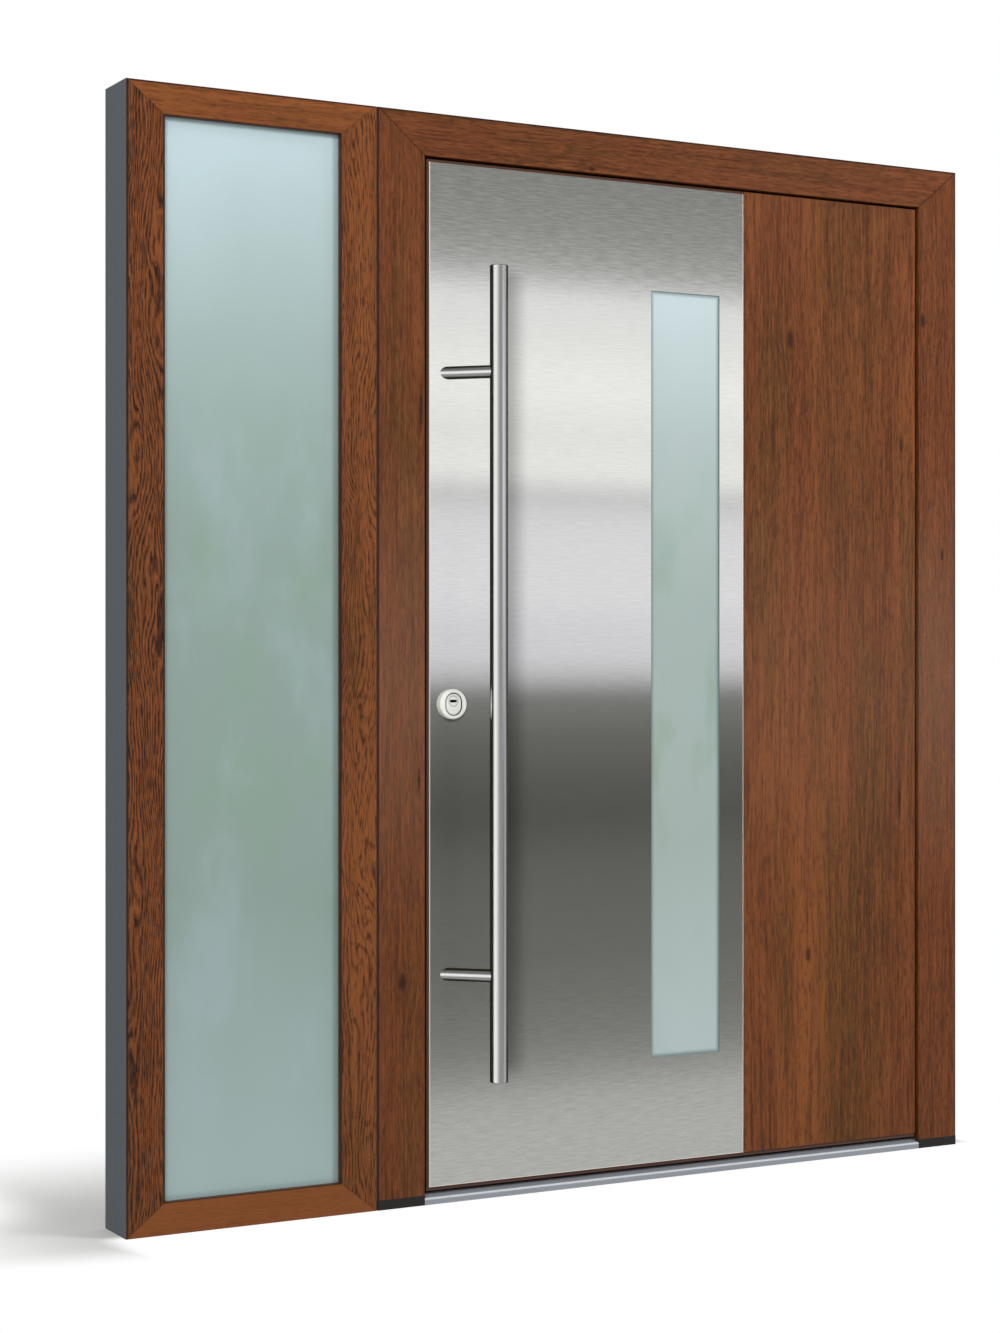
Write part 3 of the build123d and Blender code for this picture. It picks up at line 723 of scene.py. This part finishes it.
class DOOR_OT_locks(bpy.types.Operator):
    """Lock rosette, cover and plug, bolts, faceplate and strike"""
    bl_idname = "door.locks"
    bl_label = "Locks"

    def execute(self, context):
        metal = context.scene.door_metal
        # Painted shade: dark lines in the gaps round the cover and the plug, and a dark keyway a little larger
        # than the real one.
        plug = front_oval("lock_plug")
        keyway = (plug[0], plug[1], 0.0078, 0.0027)
        dress(satin_finish("rosette_satin", metal, front_oval("lock_cover"), 0.92), "lock_rosette")
        dress(satin_finish("cover_satin", metal, plug, 0.45), "lock_cover")
        dress(satin_finish("plug_satin", metal, keyway, 1.0, filled=True), "lock_plug")
        dress(
            brushed_finish("lock_case_steel", metal.hinge, metal, "Z", 0.34, 0.85), "lock_faceplate", "lock_bolts",
            "strike_plate",
        )
        return {"FINISHED"}


class DOOR_OT_room_fittings(bpy.types.Operator):
    """Lever, rosettes, cylinder and hinges on the room side"""
    bl_idname = "door.room_fittings"
    bl_label = "Room-side fittings"

    def execute(self, context):
        metal = context.scene.door_metal
        dress(
            brushed_finish("lever_steel", metal.handle, metal, "X", 0.3, 0.8),
            "inner_lever", "inner_lever_rosette", "inner_lock_rosette", "inner_cylinder",
        )
        dress(
            brushed_finish("hinge_steel", metal.hinge, metal, "Z", 0.34, 0.85),
            "hinge_frame_halves", "hinge_leaf_halves",
        )
        return {"FINISHED"}


class DOOR_OT_sill(bpy.types.Operator):
    """Sill, feet, coupling strip and the strip under the leaf"""
    bl_idname = "door.sill"
    bl_label = "Sill and feet"

    def execute(self, context):
        metal = context.scene.door_metal
        plain = context.scene.door_plain
        front_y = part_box("threshold")[0].y
        nose = (front_y + 0.0010, 0.0120, metal.sill_nose_highlight)
        dress(sill_finish("sill_anodised", metal.sill, nose), "threshold")
        dress(
            moulded_finish("foot_plastic", plain.plastic, 0.55, 0.0010, 0.00010),
            "lock_jamb_foot", "hinge_jamb_foot",
        )
        dress(
            moulded_finish("brown_coating", metal.brown, 0.45, 0.0008, 0.00004, "X"),
            "coupling_strip", "leaf_bottom_strip",
        )
        return {"FINISHED"}


class DOOR_OT_screws(bpy.types.Operator):
    """Screws of hinges, faceplate and strike, one mesh for each body"""
    bl_idname = "door.screws"
    bl_label = "Screws"

    def execute(self, context):
        metal = context.scene.door_metal
        sizes = context.scene.door_screw
        finish = brushed_finish("screw_steel", metal.hinge, metal, "X", 0.32, 0.85)
        tree = screw_tree()
        frame_spots = hinge_spots("hinge_frame_halves", 1) + plate_spots("strike_plate", 1)
        leaf_spots = hinge_spots("hinge_leaf_halves", -1) + plate_spots("lock_faceplate", -1)
        for name, spots, body in (("frame_screws", frame_spots, "frame"), ("leaf_screws", leaf_spots, "leaf")):
            piece = repeated_piece(name, spots, tree, finish, sizes)
            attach(piece, body)
        return {"FINISHED"}


def hinge_spots(node, side):
    """Screw places on three hinge plates, four to a plate, on the face towards the room.

    The side is 1 on the frame and -1 on the leaf.
    """
    hinge_heights = (0.262, 1.022, 1.782)
    rows, steps = (0.010, 0.026), (0.014, 0.046)
    low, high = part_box(node)
    outer_x = high.x if side > 0 else low.x
    plate_y = 0.059 if side > 0 else 0.055
    spots = []
    for centre_z in hinge_heights:
        for across in rows:
            for rise in steps:
                spots.append(((outer_x - side * across, plate_y, centre_z - side * rise), (0.0, 1.0, 0.0)))
    return spots


def plate_spots(node, side):
    """Screw places up a long plate, on the face that shows with the leaf open."""
    low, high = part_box(node)
    face_x = high.x if side > 0 else low.x
    middle_y = (low.y + high.y) / 2
    shares = (0.02, 0.26, 0.66, 0.98)
    return [((face_x, middle_y, low.z + (high.z - low.z) * share), (side, 0.0, 0.0)) for share in shares]


def screw_tree():
    """Geometry nodes that put a domed head with a hexagon socket on every point, facing its out attribute."""
    tree = bpy.data.node_groups.new("screw_heads", "GeometryNodeTree")
    kinds = {"Points": "Geometry", "Head": "Float", "Height": "Float", "Drive": "Float", "Sides": "Int",
             "Finish": "Material"}
    for name, kind in kinds.items():
        tree.interface.new_socket(name, in_out="INPUT", socket_type="NodeSocket" + kind)
    tree.interface.new_socket("Screws", in_out="OUTPUT", socket_type="NodeSocketGeometry")
    g = NodeSheet(tree)
    first = g.node("NodeGroupInput", {}, {})
    given = {socket.name: Wire(g, socket) for socket in first.socket.node.outputs}
    head = g.node(
        "GeometryNodeMeshCylinder", {"fill_type": "NGON"},
        {"Vertices": given["Sides"], "Radius": given["Head"] / 2, "Depth": given["Height"]},
    )
    top = Wire(g, head.socket.node.outputs["Top"])
    raised = g.node(
        "GeometryNodeExtrudeMesh", {"mode": "FACES"},
        {"Mesh": head, "Selection": top, "Offset Scale": given["Height"] * 0.4},
    )
    crown = Wire(g, raised.socket.node.outputs["Top"])
    domed = g.node("GeometryNodeScaleElements", {}, {"Geometry": raised, "Selection": crown, "Scale": 0.74})
    hexagon = g.node(
        "GeometryNodeMeshCylinder", {"fill_type": "NGON"},
        {"Vertices": 6, "Radius": given["Drive"] * 0.577, "Depth": given["Height"] * 1.2},
    )
    lifted = g.node(
        "GeometryNodeTransform", {}, {"Geometry": hexagon, "Translation": g.join(0.0, 0.0, given["Height"] * 0.8)}
    )
    screw = g.node("GeometryNodeMeshBoolean", {"operation": "DIFFERENCE"}, {0: domed, 1: lifted})
    way = g.node("GeometryNodeInputNamedAttribute", {"data_type": "FLOAT_VECTOR"}, {"Name": "out"})
    turn = g.node("FunctionNodeAlignRotationToVector", {"axis": "Z"}, {"Vector": way})
    placed = g.node(
        "GeometryNodeInstanceOnPoints", {}, {"Points": given["Points"], "Instance": screw, "Rotation": turn}
    )
    real = g.node("GeometryNodeRealizeInstances", {}, {"Geometry": placed})
    done = g.node("GeometryNodeSetMaterial", {}, {"Geometry": real, "Material": given["Finish"]})
    g.node("NodeGroupOutput", {}, {0: done})
    return tree


def repeated_piece(name, spots, tree, finish, sizes):
    """Runs a tree on points with their out directions, and keeps the result as one plain mesh."""
    points = bpy.data.meshes.new(name + "_points")
    points.from_pydata([place for place, way in spots], [], [])
    out = points.attributes.new("out", "FLOAT_VECTOR", "POINT")
    for item, (place, way) in zip(out.data, spots):
        item.vector = way
    holder = bpy.data.objects.new(name + "_points", points)
    bpy.context.scene.collection.objects.link(holder)
    modifier = holder.modifiers.new("screws", "NODES")
    modifier.node_group = tree
    values = {"Head": sizes.head, "Height": sizes.height, "Drive": sizes.drive, "Sides": sizes.sides,
              "Finish": finish}
    for item in tree.interface.items_tree:
        if item.name in values:
            modifier[item.identifier] = values[item.name]
    ready = holder.evaluated_get(bpy.context.evaluated_depsgraph_get())
    mesh = bpy.data.meshes.new_from_object(ready)
    mesh.name = name
    holder.modifiers.remove(modifier)
    bpy.data.objects.remove(holder)
    if len(mesh.polygons) < len(spots):
        raise RuntimeError(name + " has no heads")
    piece = bpy.data.objects.new(name, mesh)
    bpy.context.scene.collection.objects.link(piece)
    return piece


class DOOR_OT_stage(bpy.types.Operator):
    """Plain floor, soft studio light and the camera"""
    bl_idname = "door.stage"
    bl_label = "Stage"

    def execute(self, context):
        studio = context.scene.door_studio
        scene = context.scene
        scene.view_settings.view_transform = "Standard"
        floor = self.add_floor(scene, studio)
        self.add_world(scene, studio)
        self.add_lamp(scene, "key_lamp", (-3.2, -3.0, 3.9), 1.0, studio.key_power)
        self.add_lamp(scene, "fill_lamp", (3.6, -4.0, 3.6), 1.6, studio.fill_power)
        room = self.add_lamp(scene, "room_lamp", (0.6, 4.8, 3.2), 2.0, studio.room_power)
        spared = bpy.data.collections.new("room_lamp_receivers")
        spared.objects.link(floor)
        spared.collection_objects[0].light_linking.link_state = "EXCLUDE"
        room.light_linking.receiver_collection = spared
        self.add_camera(scene, studio)
        return {"FINISHED"}

    def add_floor(self, scene, studio):
        reach = 9.0
        mesh = bpy.data.meshes.new("floor")
        corners = [(-reach, -reach, 0), (reach, -reach, 0), (reach, reach, 0), (-reach, reach, 0)]
        mesh.from_pydata(corners, [], [(0, 1, 2, 3)])
        floor = bpy.data.objects.new("floor", mesh)
        scene.collection.objects.link(floor)
        f = Finish("pale_floor")
        x, y, z = f.place()
        speck = f.noise(f.join(x * 60, y * 60, z * 60), 2.0)
        tint = f.blend(speck * 0.2, rgba(studio.floor), toned(studio.floor, 0.97))
        plain = f.node("ShaderNodeBsdfDiffuse", {}, {"Color": tint})
        seen = f.node("ShaderNodeLightPath", {}, {}, "Is Camera Ray")
        white = f.node("ShaderNodeEmission", {}, {"Color": (1, 1, 1, 1), "Strength": 1.0})
        # White to the camera, but for the shadow close to the door's left end and room side.
        left, right = cad_box[0][0], cad_box[1][0]
        half_depth = 0.055
        aside = f.most(left - x, 0) * (1 + f.ease(y, 0.05, 0.35) * 1.2) + f.most(x - right, 0) * 8
        behind = f.most(y - half_depth, 0) * (0.5 + f.ease(x, 0.0, right) * 0.6)
        ahead = f.most(-half_depth - y, 0) * 2.2
        far = f.distance(aside, behind, ahead)
        clear = f.ease(x, left - 0.06, left) * f.ease(y, -0.01, -0.06)
        share = seen * f.most(f.ease(far, 0.05, 0.40), clear)
        both = f.node("ShaderNodeMixShader", {}, {0: share, 1: plain, 2: white})
        f.node("ShaderNodeOutputMaterial", {}, {"Surface": both})
        mesh.materials.append(f.material)
        floor.visible_glossy = False
        return floor

    def add_world(self, scene, studio):
        world = bpy.data.worlds.new("soft_studio")
        world.use_nodes = True
        world.node_tree.nodes.clear()
        sheet = NodeSheet(world.node_tree)
        x, y, z = sheet.split(sheet.node("ShaderNodeTexCoord", {}, {}, "Generated"))
        # What steel mirrors in front of the door: rise above the eye line, level, and how blue it is.
        reach = 0.30
        levels = [
            (-0.30, 0.50, 1.05), (-0.186, 0.468, 1.05), (-0.171, 0.423, 1.05), (-0.163, 0.31, 1.04),
            (-0.155, 0.235, 1.03), (-0.147, 0.19, 1.02), (-0.132, 0.152, 1.0), (-0.116, 0.122, 1.0),
            (-0.0935, 0.105, 1.0), (-0.077, 0.085, 1.0), (-0.0617, 0.057, 1.0), (-0.046, 0.074, 1.0),
            (-0.0304, 0.11, 1.0), (-0.0155, 0.168, 1.06), (-0.0068, 0.535, 1.12), (0.0007, 0.69, 1.13),
            (0.0085, 0.69, 1.13), (0.0241, 0.774, 1.12), (0.0475, 0.75, 1.12), (0.056, 0.695, 1.12),
            (0.0615, 0.585, 1.10), (0.0715, 0.89, 1.06), (0.0865, 0.835, 1.06), (0.102, 0.92, 1.06),
            (0.110, 0.91, 1.06), (0.1255, 0.825, 1.07), (0.139, 0.80, 1.08), (0.1515, 0.42, 1.06),
            (0.1644, 0.308, 1.05), (0.185, 0.245, 1.03), (0.30, 0.235, 1.03),
        ]
        stops = [((level + reach) / (2 * reach), (value, value, value * blue)) for level, value, blue in levels]
        rise = z / sheet.most(abs(y), 0.3) * 0.861
        bands = sheet.node("ShaderNodeValToRGB", {"stops": stops}, {0: (rise + reach) / (2 * reach)})
        bearing = x.math("ARCTAN2", x, 0 - y)
        # What it mirrors all round: bearing in degrees from straight ahead, and level.
        sides = [
            (-180, 0.25), (-165, 0.14), (-150, 0.45), (-134, 0.80), (-116, 0.96), (-62, 0.96), (-48, 0.71),
            (-36, 0.52), (-25, 0.37), (-13, 0.29), (36, 0.30), (47, 0.48), (53, 0.62), (58, 0.60),
            (63, 0.38), (68, 0.25), (78, 0.06), (100, 0.10), (120, 0.42), (160, 0.42), (180, 0.25),
        ]
        stops = [((turn + 180) / 360, (value, value, value)) for turn, value in sides]
        ring = sheet.node("ShaderNodeValToRGB", {"stops": stops}, {0: bearing / (2 * math.pi) + 0.5})
        front = sheet.ease(bearing, math.radians(13), math.radians(20))
        front = front * sheet.ease(bearing, math.radians(54), math.radians(47))
        mirrored = sheet.blend(front, ring, bands)
        mirrored = sheet.blend(sheet.ease(z, 0.22, 0.50), mirrored, rgba((0.17,) * 3))
        mirrored = sheet.blend(sheet.ease(z, -0.25, -0.50), mirrored, rgba((0.30,) * 3))
        rays = sheet.node("ShaderNodeLightPath", {}, {})
        ray = {socket.name: Wire(sheet, socket) for socket in rays.socket.node.outputs}
        level = (studio.daylight,) * 3
        shown = sheet.blend(ray["Is Glossy Ray"], rgba(level), mirrored)
        pale = sheet.most(ray["Is Camera Ray"], ray["Is Transmission Ray"])
        shown = sheet.blend(pale, shown, (1, 1, 1, 1))
        light = sheet.node("ShaderNodeBackground", {}, {"Color": shown, "Strength": 1.0})
        sheet.node("ShaderNodeOutputWorld", {}, {"Surface": light})
        scene.world = world

    def add_lamp(self, scene, name, place, size, power):
        lamp = bpy.data.lights.new(name, "AREA")
        lamp.shape = "DISK"
        lamp.size = size
        lamp.energy = power
        holder = bpy.data.objects.new(name, lamp)
        holder.location = place
        aim = Vector(place) - Vector((0.0, 0.0, top_z / 2))
        holder.rotation_euler = aim.to_track_quat("Z", "Y").to_euler()
        holder.visible_glossy = False
        holder.visible_camera = False
        scene.collection.objects.link(holder)
        return holder

    def add_camera(self, scene, studio):
        lens = bpy.data.cameras.new("photo_camera")
        lens.sensor_width = 36.0
        lens.lens = studio.lens
        lens.shift_y = studio.rise
        camera = bpy.data.objects.new("photo_camera", lens)
        camera.location = studio.eye
        camera.rotation_euler = (math.pi / 2, 0.0, -studio.turn)
        scene.collection.objects.link(camera)
        scene.camera = camera


class DOOR_PT_sidebar(bpy.types.Panel):
    """The door's steps, with the sizes and colours that they read"""
    bl_idname = "DOOR_PT_sidebar"
    bl_label = "Entrance door"
    bl_space_type = "VIEW_3D"
    bl_region_type = "UI"
    bl_category = "Door"

    def draw(self, context):
        for operator in operators:
            self.layout.operator(operator.bl_idname)
        for name in settings:
            group = getattr(context.scene, name)
            box = self.layout.box()
            for key in group.__annotations__:
                box.prop(group, key)


settings = {
    "door_wood": WoodDecor,
    "door_metal": MetalFinishes,
    "door_glass": GlassFinishes,
    "door_plain": PlainFinishes,
    "door_screw": ScrewSizes,
    "door_studio": Studio,
}
operators = [
    DOOR_OT_wood_frame,
    DOOR_OT_leaf_panels,
    DOOR_OT_glass,
    DOOR_OT_pull_handle,
    DOOR_OT_locks,
    DOOR_OT_room_fittings,
    DOOR_OT_sill,
    DOOR_OT_screws,
    DOOR_OT_stage,
]


def register():
    for group in settings.values():
        bpy.utils.register_class(group)
    for name, group in settings.items():
        setattr(bpy.types.Scene, name, PointerProperty(type=group))
    for operator in operators:
        bpy.utils.register_class(operator)
    bpy.utils.register_class(DOOR_PT_sidebar)


def unregister():
    bpy.utils.unregister_class(DOOR_PT_sidebar)
    for operator in reversed(operators):
        bpy.utils.unregister_class(operator)
    for name, group in reversed(settings.items()):
        delattr(bpy.types.Scene, name)
        bpy.utils.unregister_class(group)


def main():
    register()
    bpy.ops.door.wood_frame()
    bpy.ops.door.leaf_panels()
    bpy.ops.door.glass()
    bpy.ops.door.pull_handle()
    bpy.ops.door.locks()
    bpy.ops.door.room_fittings()
    bpy.ops.door.sill()
    bpy.ops.door.screws()
    bpy.ops.door.stage()


if __name__ == "__main__":
    main()
